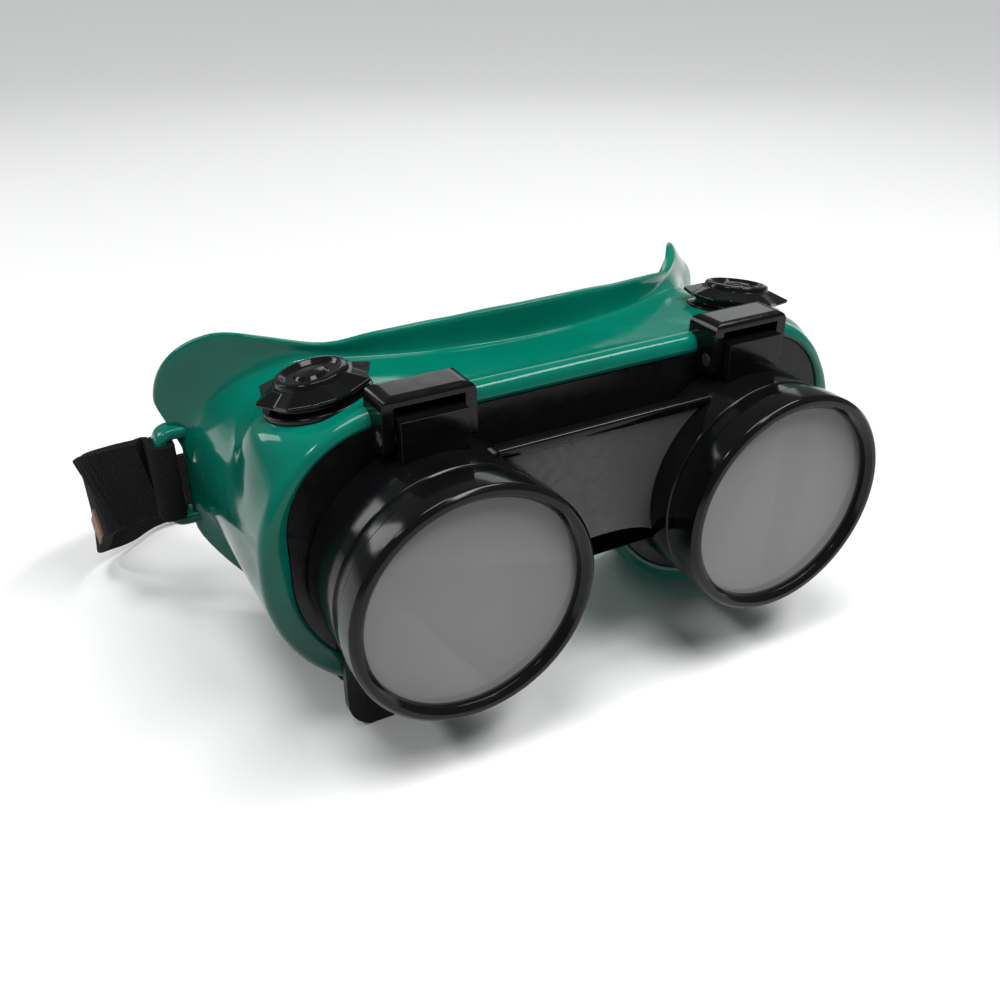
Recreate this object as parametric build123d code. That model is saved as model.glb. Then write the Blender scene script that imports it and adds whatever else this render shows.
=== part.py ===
from build123d import *
import math
import os

# Flip-front welding goggles. Millimetres, +Z up, the lenses look along -Y.
# Everything is built about the point midway between the two lenses, on the front face of the
# cover lenses, and save() moves it so that the goggles stand on the plane Z = 0.
# "right" is the wearer's right, at -X, and "left" is the wearer's left, at +X.

os.makedirs("parts", exist_ok=True)

SIDES = {"right": -1, "left": 1}

# Where the building point lies in the finished frame
rest_height = 40.0
back_to_origin = 62.95

# Lenses and their cups
cup_x = 38.9
lens_r = 25.0
cover_lens_t = 1.2
filter_lens_t = 2.4
gasket_t = 0.6
slip_ring_t = 0.5
slip_gap = 0.1
clear_lens_t = 2.0
window_r = 23.5
cap_r = 26.6
cap_wall_r = 25.2
cap_front_y = -2.8
cap_step_y = 4.0
cap_back_y = 7.0
neck_r = 25.1
barrel_r = 26.0
barrel_bore_r = 22.6
barrel_front_y = 7.4
barrel_back_y = 22.0

# Screw cap's edges
cap_rim_round = 1.1
cap_flare_w = 1.4
cap_flare_depth = 1.2

# Split ring behind each clear lens
split_ring_t = 2.4
split_half_w = 1.2

# Bridge plate between the barrels
bridge_front_y = 13.5
bridge_back_y = 16.0
bridge_top = 24.0
bridge_foot_z = -9.0
bridge_arch_z = -4.0
bridge_half_w = 28.0
rib_h = 1.8
rib_out = 0.9
rib_round = 0.4

# Flip hinge
pivot_y = 18.6
pivot_z = 29.6
knuckle_r = 4.4
knuckle_half_w = 7.2
knuckle_top = 34.0
pin_r = 1.5
pin_clearance = 0.05
bracket_half_w = 10.0
cheek_t = 2.5
hood_front_y = 16.5
hood_back_y = 25.4
hood_bottom = 36.2
hood_top = 38.2
cheek_bottom = 26.4
bracket_plate_front_y = 23.4
rivet_r = 1.1
rivet_head_r = 1.8
rivet_spread = 5.0
rivet_z = 29.0
rivet_head_t = 0.9
hood_round = 1.2

# Front views of the mask: half width, top, corner radius, lower lobe radius, nose-side radius
# and the height of the arch over the nose
outer_size = (73.6, 34.3, 30.0, 34.7, 32.2, -8.2)
rear_size = (72.4, 27.0, 26.0, 33.5, 31.6, -9.0)
opening_size = (67.6, 30.0, 20.0, 28.7, 29.4, -5.2)
flange_size = (77.8, 37.1, 22.0, 40.0, 38.0, -14.5)
rim_size = (70.4, 31.2, 26.6, 31.5, 29.9, -5.8)
nose_tip_deg = 24.0
nose_mid_deg = 57.0

# Soft body
lip_front_y = 22.0
lip_back_y = 25.5
rear_plane_y = 96.0
wall_t = 2.2
flange_t = 2.2
face_y = 47.0
face_arc_r = 88.0
face_arc_half_w = 60.0
lip_edge_r = 2.0
far = 200.0

# Strap lugs on the ends of the face flange
lug_front_y = 80.0
lug_back_y = 86.0
lug_z = -2.0
lug_half_h = 13.0
slot_half_h = 10.6
slot_in_x = 74.6
slot_out_x = 77.6
lug_in_x = 71.4
lug_out_x = 80.0
lug_round = 1.0
flange_gap_x = 73.0

# Stiff frame in the mask's opening
frame_front_y = 22.4
rim_back_y = 27.5
eye_tube_r = 27.2
eye_tube_back_y = 30.5
clear_lens_y = 24.6
clear_window_r = 23.0
tongue_out = 13.1
tongue_half_w = 7.5
tongue_flat_z = 7.0
tongue_top_drop = 12.0
tongue_front_y = 19.8

# Vents
vent_tilt = 9.0
upper_vent_pitch = -6.0
vent_y = 39.2
upper_vent = (53.4, 31.8)
lower_vent = (48.0, -33.7)
vent_hole_r = 6.7
vent_seat_r = 11.4
plug_r = 8.4
plug_bore_r = 4.2
stem_bore_r = 5.2
vent_seat_top = -0.5
vent_seat_bottom = -5.0
seat_clearance = 0.2
plug_t = 1.6
plug_bar_w = 1.4
petals = 8
petal_tip_r = 12.6
petal_t = 1.6
petal_cut_r = 4.2
petal_cut_centre = 15.2
eave_r = 10.6
eave_h = 3.6
ridge_r = 6.6
ridge_h = 5.0
knob_r = 5.0
collar_top = 2.0

# Headband
band_w = 20.0
band_t = 1.8
band_run_y = 126.0
band_run_z = -28.4
band_ramp_y = 86.0
band_ramp_end_y = 119.0
band_loop_round = 1.2
band_fold_gap = 0.15

# Adjuster on the headband
slider_half_w = 12.0
slider_bar_w = 2.4
slider_rail_t = 1.3
slider_bar_t = 1.5
slider_gap = 0.3

# Fit between pieces of one body
seat_gap = 0.05


def save(name, shape):
    """Write one node, moved to the resting frame."""
    export_step(Pos(0, -back_to_origin, rest_height) * shape, f"parts/{name}.step")


def rod(x, z, y0, y1, r):
    """A cylinder along Y."""
    return Pos(x, (y0 + y1) / 2, z) * Rot(90, 0, 0) * Cylinder(r, y1 - y0)


def ring(x, z, y0, y1, r_out, r_in):
    """A tube along Y."""
    return rod(x, z, y0, y1, r_out) - rod(x, z, y0 - 1, y1 + 1, r_in)


def block(x0, x1, y0, y1, z0, z1):
    """A box from its six limits."""
    centre = Pos((x0 + x1) / 2, (y0 + y1) / 2, (z0 + z1) / 2)
    return centre * Box(abs(x1 - x0), y1 - y0, z1 - z0)


def plate(face, y0, y1):
    """Thicken a face drawn in X and Z between two depths."""
    return Pos(0, y1, 0) * extrude(Plane.XZ * face, amount=y1 - y0)


def mask_outline(size, inset=0.0):
    """Front view of the mask: flat top, two round lower lobes and an arch over the nose."""
    half_w, top, corner_r, lower_r, nose_r = (length - inset for length in size[:5])
    arch_z = size[5] + inset
    lobe_x = half_w - lower_r
    tip = math.radians(nose_tip_deg)
    mid = math.radians(nose_mid_deg)
    mid_r = (lower_r + nose_r) / 2
    slant = math.sqrt(0.5)
    corner = (half_w - corner_r, top)
    side_top = (half_w, top - corner_r)
    corner_mid = (half_w - corner_r * (1 - slant), top - corner_r * (1 - slant))
    side_bottom = (half_w, 0)
    lobe_mid = (lobe_x + lower_r * slant, -lower_r * slant)
    lobe_bottom = (lobe_x, -lower_r)
    nose_mid = (cup_x - mid_r * math.cos(mid), -mid_r * math.sin(mid))
    nose_tip = (cup_x - nose_r * math.cos(tip), -nose_r * math.sin(tip))

    def flip(p):
        return (-p[0], p[1])

    edges = [
        Line(flip(corner), corner),
        ThreePointArc(corner, corner_mid, side_top),
        Line(side_top, side_bottom),
        ThreePointArc(side_bottom, lobe_mid, lobe_bottom),
        ThreePointArc(lobe_bottom, nose_mid, nose_tip),
        ThreePointArc(nose_tip, (0, arch_z), flip(nose_tip)),
        ThreePointArc(flip(nose_tip), flip(nose_mid), flip(lobe_bottom)),
        ThreePointArc(flip(lobe_bottom), flip(lobe_mid), flip(side_bottom)),
        Line(flip(side_bottom), flip(side_top)),
        ThreePointArc(flip(side_top), flip(corner_mid), flip(corner)),
    ]
    return make_face(edges)


def face_region(offset):
    """Everything in front of the wearer's face, whose curve is an arc with straight ends."""
    edge_x = face_arc_half_w
    drop = math.sqrt(face_arc_r**2 - edge_x**2)
    edge_y = face_y + face_arc_r - drop + offset
    slope = edge_x / drop
    far_y = edge_y + slope * (far - edge_x)
    outline = [
        ThreePointArc((-edge_x, edge_y), (0, face_y + offset), (edge_x, edge_y)),
        Line((edge_x, edge_y), (far, far_y)),
        Line((far, far_y), (far, 0)),
        Line((far, 0), (-far, 0)),
        Line((-far, 0), (-far, far_y)),
        Line((-far, far_y), (-edge_x, edge_y)),
    ]
    return extrude(make_face(outline), amount=far, both=True)


def tapered(front_face, rear_face, y0, y1):
    """A straight-sided body between two outlines with the same run of edges."""
    front = Pos(0, y0, 0) * (Plane.XZ * front_face)
    rear = Pos(0, y1, 0) * (Plane.XZ * rear_face)
    return loft([front, rear], ruled=True)


def vent_place(side, upper):
    """Seat of a vent: local +Z points away from the body."""
    x, z = upper_vent if upper else lower_vent
    if upper:
        leaning_back = Pos(side * x, vent_y, z) * Rot(upper_vent_pitch, 0, 0)
        return leaning_back * Rot(0, side * vent_tilt, 0)
    return Pos(side * x, vent_y, z) * Rot(0, 180 - side * vent_tilt, 0)


def vent_seats():
    seats = []
    height = vent_seat_top - vent_seat_bottom
    middle = (vent_seat_top + vent_seat_bottom) / 2
    for side in SIDES.values():
        for upper in (True, False):
            seat = Pos(0, 0, middle) * Cylinder(vent_seat_r, height)
            seats.append(vent_place(side, upper) * seat)
    return seats


def strap_lug(side):
    """Moulded loop that the headband is threaded through."""
    low = lug_z - lug_half_h
    high = lug_z + lug_half_h
    body = block(side * lug_in_x, side * lug_out_x, lug_front_y, lug_back_y, low, high)
    body = fillet(body.edges().filter_by(Axis.Y), lug_round)
    slot_low = lug_z - slot_half_h
    slot_high = lug_z + slot_half_h
    slot = block(side * slot_in_x, side * slot_out_x, 0, far, slot_low, slot_high)
    return (body & face_region(0)) - slot


def goggle_body():
    """Soft moulded mask: tapered shell, curled front lip, face flange, vent seats and lugs."""
    shell = tapered(mask_outline(outer_size), mask_outline(rear_size), lip_front_y, rear_plane_y)
    shell = fillet(shell.faces().sort_by(Axis.Y)[0].edges(), lip_edge_r)
    inner_front = mask_outline(outer_size, wall_t)
    inner_rear = mask_outline(rear_size, wall_t)
    cavity = tapered(inner_front, inner_rear, lip_back_y, rear_plane_y + 1)
    wearer = face_region(0)
    flange = plate(mask_outline(flange_size), lip_back_y, far)
    flange = (flange & wearer) - face_region(-flange_t)
    low = lug_z - lug_half_h + lug_round
    high = lug_z + lug_half_h - lug_round
    for side in SIDES.values():
        flange -= block(side * flange_gap_x, side * far, face_y, far, low, high)
    body = (shell & wearer) + flange
    body -= cavity
    body = body + vent_seats() + [strap_lug(side) for side in SIDES.values()]
    body -= plate(mask_outline(opening_size), lip_front_y - 1, lip_back_y + 1)
    for side in SIDES.values():
        body -= bracket_room(side)
        for upper in (True, False):
            body -= vent_room(side, upper)
    return body


def bracket_room(side):
    """Cut in the lip for a hinge bracket."""
    x = side * cup_x
    half = bracket_half_w + seat_gap
    return block(x - half, x + half, lip_front_y - 1, lip_back_y, 25, hood_top)


def vent_room(side, upper):
    """Hole for a vent's stem, with a flat for its cap outside and for its plug inside."""
    hole = Cylinder(vent_hole_r, 20)
    hole += Pos(0, 0, vent_seat_top + 5) * Cylinder(vent_seat_r + seat_clearance, 10)
    hole += Pos(0, 0, vent_seat_bottom - 3) * Cylinder(plug_r + seat_clearance, 6)
    return vent_place(side, upper) * hole


def tongue(side):
    """Round-ended tab below the lip, a foot for the goggles when they stand on a table."""
    x = side * (cup_x + tongue_out)
    z = -rest_height + tongue_flat_z
    outline = Pos(x, z) * Circle(tongue_half_w)
    shank_h = -z - tongue_top_drop
    outline += Pos(x, (z - tongue_top_drop) / 2) * Rectangle(2 * tongue_half_w, shank_h)
    tab = plate(outline, tongue_front_y, lip_front_y - seat_gap)
    within = plate(mask_outline(opening_size, seat_gap), 0, 40)
    root = plate(outline, tongue_front_y, frame_front_y) & within
    cup_room = rod(side * cup_x, 0, 0, 40, barrel_r + 0.4)
    return ((tab + root) & block(-90, 90, 0, 40, -rest_height, 0)) - cup_room


def front_frame():
    """Stiff plate that closes the mask's opening and holds the two clear lenses."""
    frame = plate(mask_outline(opening_size, seat_gap), frame_front_y, lip_back_y)
    frame += plate(mask_outline(rim_size), lip_back_y, rim_back_y)
    for side in SIDES.values():
        x = side * cup_x
        frame += rod(x, 0, lip_back_y, eye_tube_back_y, eye_tube_r)
        frame += tongue(side)
        frame -= rod(x, 0, 15, 40, clear_window_r)
        frame -= rod(x, 0, clear_lens_y, 40, lens_r + 0.1)
        half = bracket_half_w + seat_gap
        frame -= block(x - half, x + half, 20, lip_back_y, cheek_bottom - seat_gap, 40)
        for step in (-1, 1):
            frame -= rod(x + step * rivet_spread, rivet_z, 20, 30, rivet_r)
    return frame


def clear_lens(side):
    return rod(side * cup_x, 0, clear_lens_y, clear_lens_y + clear_lens_t, lens_r)


def clear_lens_ring(side):
    """Split ring that holds the clear lens from inside."""
    x = side * cup_x
    y0 = clear_lens_y + clear_lens_t
    body = ring(x, 0, y0, y0 + split_ring_t, lens_r + 0.1, clear_window_r)
    gap = block(x - split_half_w, x + split_half_w, y0 - 1, y0 + 4, -30, -15)
    return body - gap


def hinge_bracket(side):
    """Hooded clip: two cheeks that carry the pin, a back plate and a hood over the knuckle."""
    x = side * cup_x
    w = bracket_half_w
    body = block(x - w, x + w, hood_front_y, hood_back_y, cheek_bottom, hood_top)
    body = fillet(body.edges().filter_by(Axis.X).sort_by(Axis.Z)[-2:], hood_round)
    room = w - cheek_t
    body -= block(x - room, x + room, 0, bracket_plate_front_y, 0, hood_bottom)
    body -= Pos(x, pivot_y, pivot_z) * Rot(0, 90, 0) * Cylinder(pin_r, 30)
    for step in (-1, 1):
        body -= rod(x + step * rivet_spread, rivet_z, 20, 30, rivet_r)
    return body


def bracket_rivets():
    """Four rivets through the bracket plates and the frame's rim."""
    rivets = []
    for side in SIDES.values():
        for step in (-1, 1):
            x = side * cup_x + step * rivet_spread
            shank = rod(x, rivet_z, bracket_plate_front_y, rim_back_y, rivet_r)
            head = rod(x, rivet_z, rim_back_y, rim_back_y + rivet_head_t, rivet_head_r)
            rivets.append(shank + head)
    return Compound(rivets)


def hinge_pins():
    """Two pins across the brackets, in line."""
    pins = []
    for side in SIDES.values():
        pin = Rot(0, 90, 0) * Cylinder(pin_r, 2 * bracket_half_w)
        pins.append(Pos(side * cup_x, pivot_y, pivot_z) * pin)
    return Compound(pins)


def bridge_plate():
    """Plate between the barrels, arched below, with a rib along its top edge."""
    w = bridge_half_w
    foot = (w, bridge_foot_z)
    edges = [
        Line((-w, bridge_top), (w, bridge_top)),
        Line((w, bridge_top), foot),
        ThreePointArc(foot, (0, bridge_arch_z), (-w, bridge_foot_z)),
        Line((-w, bridge_foot_z), (-w, bridge_top)),
    ]
    body = plate(make_face(edges), bridge_front_y, bridge_back_y)
    rib_low = bridge_top - rib_h
    rib = block(-w, w, bridge_front_y - rib_out, bridge_front_y + 1, rib_low, bridge_top)
    return body + fillet(rib.edges().filter_by(Axis.X), rib_round)


def flip_carrier():
    """The lifting front: two barrels, the bridge and two hinge knuckles, in one moulding."""
    body = bridge_plate()
    for side in SIDES.values():
        x = side * cup_x
        body += rod(x, 0, barrel_front_y, barrel_back_y, barrel_r)
        body += rod(x, 0, cover_lens_t + filter_lens_t + gasket_t, barrel_front_y + 1, neck_r)
        w = knuckle_half_w
        body += block(x - w, x + w, pivot_y - knuckle_r, pivot_y, 20, knuckle_top)
        body += Pos(x, pivot_y, pivot_z) * Rot(0, 90, 0) * Cylinder(knuckle_r, 2 * w)
    for side in SIDES.values():
        x = side * cup_x
        body -= rod(x, 0, 0, 30, barrel_bore_r)
        hole = Cylinder(pin_r + pin_clearance, 2 * bracket_half_w)
        body -= Pos(x, pivot_y, pivot_z) * Rot(0, 90, 0) * hole
    return body


def cover_lens(side):
    return rod(side * cup_x, 0, 0, cover_lens_t, lens_r)


def filter_lens(side):
    return rod(side * cup_x, 0, cover_lens_t, cover_lens_t + filter_lens_t, lens_r)


def lens_gasket(side):
    y0 = cover_lens_t + filter_lens_t
    return ring(side * cup_x, 0, y0, y0 + gasket_t, lens_r, barrel_bore_r)


def slip_ring(side):
    """Flat ring between the cap and the cover lens, which keeps the lens from turning."""
    return ring(side * cup_x, 0, -slip_ring_t - slip_gap, -slip_gap, lens_r, window_r)


def lens_cap(side):
    """Screw ring that clamps the lenses, with a rounded rim and a narrower skirt."""
    x = side * cup_x
    body = rod(x, 0, cap_front_y, cap_step_y, cap_r)
    body = fillet(body.edges().filter_by(GeomType.CIRCLE), cap_rim_round)
    body += rod(x, 0, cap_step_y - 2, cap_back_y, barrel_r)
    body -= rod(x, 0, -slip_ring_t - 2 * slip_gap, 20, cap_wall_r)
    mouth = rod(x, 0, cap_front_y - 1, 5, window_r)
    flare = Cone(window_r + cap_flare_w, window_r, cap_flare_depth)
    flare = Pos(x, cap_front_y + cap_flare_depth / 2, 0) * Rot(-90, 0, 0) * flare
    return body - mouth - flare


def vent_cap(side, upper):
    """Petalled cap on a slotted collar, with a hollow stem through the body wall."""
    collar_h = collar_top - vent_seat_top
    stem_h = vent_seat_top - vent_seat_bottom
    body = Pos(0, 0, collar_top - collar_h / 2) * Cylinder(vent_seat_r, collar_h)
    body += Pos(0, 0, vent_seat_top - stem_h / 2) * Cylinder(vent_hole_r - 0.1, stem_h)
    disc = extrude(Circle(petal_tip_r), amount=petal_t)
    for i in range(petals):
        turn = Rot(0, 0, 360 / petals * (i + 0.5))
        disc -= turn * Pos(petal_cut_centre, 0, 0) * Cylinder(petal_cut_r, 10)
    body += Pos(0, 0, collar_top) * disc
    eave = Pos(0, 0, eave_h) * RegularPolygon(eave_r, petals)
    ridge = Pos(0, 0, ridge_h) * RegularPolygon(ridge_r, petals)
    body += loft([eave, ridge], ruled=True)
    body += Pos(0, 0, ridge_h + 0.2) * Cylinder(knob_r, 0.6)
    body -= Pos(0, 0, -2.0) * Cylinder(stem_bore_r, 7.0)
    for i in range(petals):
        body -= Rot(0, 0, 360 / petals * i) * Pos(8.6, 0, 0.6) * Box(8.0, 3.0, 1.4)
    return vent_place(side, upper) * body


def vent_plug(side, upper):
    """Inner ring pressed into the stem, which clamps the wall."""
    middle = vent_seat_bottom - plug_t / 2
    rim = Pos(0, 0, middle) * Cylinder(plug_r, plug_t)
    spigot = Pos(0, 0, vent_seat_bottom + 1.2) * Cylinder(stem_bore_r - seat_gap, 2.4)
    bar = Pos(0, 0, middle) * Box(2 * plug_bore_r + 1, plug_bar_w, plug_t)
    body = rim + spigot - Pos(0, 0, vent_seat_bottom) * Cylinder(plug_bore_r, 10)
    return vent_place(side, upper) * (body + bar + Rot(0, 0, 90) * bar)


def band_route():
    """Centre line of the headband, seen from above, from the right lug to the left one."""
    end = (lug_out_x + band_fold_gap + band_t / 2, lug_back_y - 1.0)
    out = (93.0, 93.0)
    turn = (94.0, 112.0)
    back = (78.0, band_run_y - 1.5)
    run = (50.0, band_run_y)
    half = [end, out, turn, back, run]
    points = [(-x, y) for x, y in half] + [(x, y) for x, y in reversed(half)]
    return FilletPolyline(*points, radius=[11, 11, 16, 60, 60, 16, 11, 11])


def band_height(y, edge):
    """Height of one edge of the band: level at the lug, level on the floor behind."""
    return edge + (lug_z if y < band_ramp_end_y - 1 else band_run_z)


def band_loop(side):
    """Folded and sewn end of the band around the lug's outer bar."""
    gap = band_fold_gap
    out = gap + band_t
    x0 = side * slot_out_x
    x1 = side * lug_out_x
    low = lug_z - band_w / 2
    y0 = lug_front_y
    y1 = lug_back_y
    outer = block(x0 - side * out, x1 + side * out, y0 - out, y1 + out, low, low + band_w)
    outer = fillet(outer.edges().filter_by(Axis.Z), band_loop_round)
    return outer - block(x0 - side * gap, x1 + side * gap, y0 - gap, y1 + gap, -far, far)


def headband():
    """Elastic band: on edge behind the mask, rising to a sewn loop in the lug at each end."""
    wall = extrude(trace(band_route(), line_width=band_t), amount=far, both=True)
    half_w = band_w / 2
    depths = [face_y, band_ramp_y, band_ramp_end_y, far]
    top_edge = [(y, band_height(y, half_w)) for y in depths]
    low_edge = [(y, band_height(y, -half_w)) for y in reversed(depths)]
    profile = make_face(Polyline(*top_edge, *low_edge, close=True))
    band = wall & extrude(Plane.YZ * profile, amount=far, both=True)
    for side in SIDES.values():
        x1 = side * (lug_out_x + band_fold_gap)
        y1 = lug_back_y + band_fold_gap
        inside = block(side * slot_in_x, x1, lug_front_y, y1, -far, far)
        band = (band - inside) + band_loop(side)
    return band


def band_slider():
    """Adjuster on the band's straight run: two rails, end bars behind and a middle bar in front."""
    half_h = band_w / 2 + slider_gap / 2
    bar_y = band_t / 2 + slider_gap
    y_in = bar_y + slider_bar_t
    w = slider_half_w
    body = block(-w, w, -y_in, y_in, half_h, half_h + slider_rail_t)
    body += block(-w, w, -y_in, y_in, -half_h - slider_rail_t, -half_h)
    body += block(-slider_bar_w / 2, slider_bar_w / 2, -y_in, -bar_y, -half_h, half_h)
    for end in (-1, 1):
        body += block(end * w, end * (w - slider_bar_w), bar_y, y_in, -half_h, half_h)
    return Pos(0, band_run_y, band_run_z) * body


parts = {
    "goggle_body": goggle_body(),
    "front_frame": front_frame(),
    "bracket_rivets": bracket_rivets(),
    "hinge_pins": hinge_pins(),
    "flip_carrier": flip_carrier(),
    "headband": headband(),
    "band_slider": band_slider(),
}
for side_name, side in SIDES.items():
    parts[f"clear_lens_{side_name}"] = clear_lens(side)
    parts[f"clear_lens_ring_{side_name}"] = clear_lens_ring(side)
    parts[f"hinge_bracket_{side_name}"] = hinge_bracket(side)
    parts[f"cover_lens_{side_name}"] = cover_lens(side)
    parts[f"filter_lens_{side_name}"] = filter_lens(side)
    parts[f"lens_gasket_{side_name}"] = lens_gasket(side)
    parts[f"slip_ring_{side_name}"] = slip_ring(side)
    parts[f"lens_cap_{side_name}"] = lens_cap(side)
    for level, upper in (("upper", True), ("lower", False)):
        parts[f"vent_cap_{level}_{side_name}"] = vent_cap(side, upper)
        parts[f"vent_plug_{level}_{side_name}"] = vent_plug(side, upper)

for node, shape in parts.items():
    save(node, shape)
    box = shape.bounding_box()
    print(f"{node:28s} {shape.volume / 1000:8.2f} cm3  solids {len(shape.solids())}  "
          f"x {box.min.X:7.1f} {box.max.X:7.1f}  y {box.min.Y:7.1f} {box.max.Y:7.1f}  "
          f"z {box.min.Z:7.1f} {box.max.Z:7.1f}")
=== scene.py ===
import math

import bmesh
import bpy
from mathutils import Matrix, Vector


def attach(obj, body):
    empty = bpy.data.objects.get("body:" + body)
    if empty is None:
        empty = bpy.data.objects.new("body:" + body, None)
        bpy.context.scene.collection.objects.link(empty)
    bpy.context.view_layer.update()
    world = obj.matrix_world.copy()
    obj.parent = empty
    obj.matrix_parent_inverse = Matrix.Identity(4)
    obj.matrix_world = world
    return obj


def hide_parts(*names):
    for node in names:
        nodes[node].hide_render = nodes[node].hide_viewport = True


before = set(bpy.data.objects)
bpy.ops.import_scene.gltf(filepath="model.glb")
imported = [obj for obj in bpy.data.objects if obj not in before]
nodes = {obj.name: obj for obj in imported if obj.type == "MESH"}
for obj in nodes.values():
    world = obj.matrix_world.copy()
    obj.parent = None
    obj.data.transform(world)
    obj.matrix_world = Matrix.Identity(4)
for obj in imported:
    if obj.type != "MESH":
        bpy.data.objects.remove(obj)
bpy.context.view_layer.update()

# Dimensions are in millimetres about the point midway between the lenses, as in the CAD,
# and at() turns them into metres in the resting frame.

SIDES = {"right": -1, "left": 1}
BACK_TO_ORIGIN = 62.95
REST_HEIGHT = 40.0

CUP_X = 38.9
BARREL_R = 26.0
PIVOT_Y = 18.6
PIVOT_Z = 29.6
KNUCKLE_R = 4.4
KNUCKLE_TOP = 34.0
HOOD_BOTTOM = 36.2

LIP_FRONT_Y = 22.0
LIP_BACK_Y = 25.5
LIP_ROUND = 2.8
REAR_PLANE_Y = 96.0
WALL_T = 2.2
FLANGE_T = 2.2

# Half width, top, corner radius, lower radius, nose radius and nose arch of each outline.
OUTER = (73.6, 34.3, 30.0, 34.7, 32.2, -8.2)
REAR = (72.4, 27.0, 26.0, 33.5, 31.6, -9.0)
OPENING = (67.6, 30.0, 20.0, 28.7, 29.4, -5.2)
FLANGE = (77.8, 37.1, 22.0, 40.0, 38.0, -14.5)

# (x, change) along the flange's top edge: how far it is lifted, bent back and drawn in.
EDGE_SAG = [
    (-78, 0), (-66, -0.4), (-55, -2.0), (-45, -3.2), (-33, -0.1), (-23, 1.4), (-9, 2.6), (5, 2.8),
    (14, 2.5), (28, 1.1), (38, -0.2), (49, -2.6), (56, -2.0), (63.5, 1.6), (69, -1.2), (76, -1),
]
CORNER_CURL = [(44, 0), (56, 2.6), (63, 4.6), (70, 3.0), (77, 0)]
CORNER_PULL = [(44, 0), (54, 2.6), (63, 4.4), (71, 2.6), (77, 0)]

FACE_Y = 47.0
FACE_ARC_R = 88.0
FACE_ARC_HALF_W = 60.0

VENT_TILT = 9.0
UPPER_VENT_PITCH = -6.0
VENT_Y = 39.2
UPPER_VENT = (53.4, 31.8)
LOWER_VENT = (48.0, -33.7)
PAD_TOP = -1.6
PAD_DEPTH = -14
PAD_R = 22.0
PAD_FADE = 10.0
VENT_HOLE_R = 6.75
SEAT_R = 11.3
PETALS = 8

HOOD_HALF_W = 10.0
HOOD_ROOM_HALF_W = 7.5
HOOD_TOP = 38.2
HOOD_FOOT = 26.4
HOOD_FRONT_Y = 16.5
HOOD_BACK_Y = 25.4
HOOD_ROOM_BACK_Y = 23.4
HOOD_CORNER_R = 2.6
PIN_HOLE_R = 1.5
KNUCKLE_HALF_W = 7.2
KNUCKLE_FOOT = 21.5
BRIDGE_TOP = 23.2
BRIDGE_FOOT = -9.0
BRIDGE_FRONT_Y = 13.6
BRIDGE_BACK_Y = 16.0
ARCH_RISE = 5.0
RAIL_HALF_L = 26.2

LUG_Z = -2.0
LUG_Y = 83
LUG_ROOT_X = 70.5
LUG_OUT_X = 78.8
LUG_HALF_H = 11.6
# The flange steps in to this x beside the lug, over this height.
LUG_CLEAR_X = 73.6
LUG_CLEAR_H = 15.0

BAND_W = 20.0
BAND_T = 1.8
BAND_RUN_Y = 126.0
BAND_RUN_Z = -28.4
BAND_STEP = 1.5
FLAP_POINTS = 11
FLAP_OFFSET = -1.65
SEAM_LIFT = 2.4
SEAM_START = 1.6
SEAM_END = 8.8
SEAM_HALF_H = 8
STITCH_PITCH = 2.1
STITCH_R = 0.24
TAB_W = 7.6
TAB_DROP = 6.4
TAB_FIRST = 13
TAB_LAST = 18
SLIDER_HALF_W = 12.0
SLIDER_RIM = 1.3

CREASE = 50


def at(x, y, z):
    return Vector((x, y - BACK_TO_ORIGIN, z + REST_HEIGHT)) / 1000


# ---------------------------------------------------------------- camera and light

def add_camera():
    azimuth, elevation, roll = (math.radians(v) for v in (-28.754, 30.566, -0.151))
    right = Vector((math.cos(azimuth), math.sin(azimuth), 0))
    back = Vector((
        math.sin(azimuth) * math.cos(elevation),
        -math.cos(azimuth) * math.cos(elevation),
        math.sin(elevation),
    ))
    up = back.cross(right)
    side = right * math.cos(roll) + up * math.sin(roll)
    top = up * math.cos(roll) - right * math.sin(roll)
    turn = Matrix((side, top, back)).transposed().to_4x4()
    data = bpy.data.cameras.new("camera")
    data.lens = 37.38
    data.sensor_width = 36.0
    camera = bpy.data.objects.new("camera", data)
    camera.matrix_world = Matrix.Translation((-0.112825, -0.208348, 0.159264)) @ turn
    bpy.context.scene.collection.objects.link(camera)
    bpy.context.scene.camera = camera


def add_softbox(name, place, target, width, height, watts):
    data = bpy.data.lights.new(name, "AREA")
    data.shape = "RECTANGLE"
    data.size = width
    data.size_y = height
    data.energy = watts
    lamp = bpy.data.objects.new(name, data)
    lamp.location = place
    lamp.rotation_euler = (Vector(target) - Vector(place)).to_track_quat("-Z", "Y").to_euler()
    bpy.context.scene.collection.objects.link(lamp)


def add_sun(strength, spread, direction):
    data = bpy.data.lights.new("sun", "SUN")
    data.energy = strength
    data.angle = math.radians(spread)
    sun = bpy.data.objects.new("sun", data)
    sun.rotation_euler = Vector(direction).to_track_quat("-Z", "Y").to_euler()
    bpy.context.scene.collection.objects.link(sun)


def add_world(strength):
    world = bpy.data.worlds.new("studio")
    bpy.context.scene.world = world
    world.use_nodes = True
    background = world.node_tree.nodes["Background"]
    background.inputs["Color"].default_value = (0.95, 0.98, 1.0, 1)
    background.inputs["Strength"].default_value = strength


def add_floor():
    mesh = bpy.data.meshes.new("floor")
    size = 12.0
    corners = [(-size, -size, 0), (size, -size, 0), (size, size, 0), (-size, size, 0)]
    mesh.from_pydata(corners, [], [(0, 1, 2, 3)])
    floor = bpy.data.objects.new("floor", mesh)
    bpy.context.scene.collection.objects.link(floor)
    kit = Shader("floor_paper", (0.86, 0.86, 0.86), 0.75)
    kit.bump(kit.noise(220, 3), 0.05, 0.0002)
    mesh.materials.append(kit.material)
    floor.visible_diffuse = False


# ---------------------------------------------------------------- materials

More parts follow.
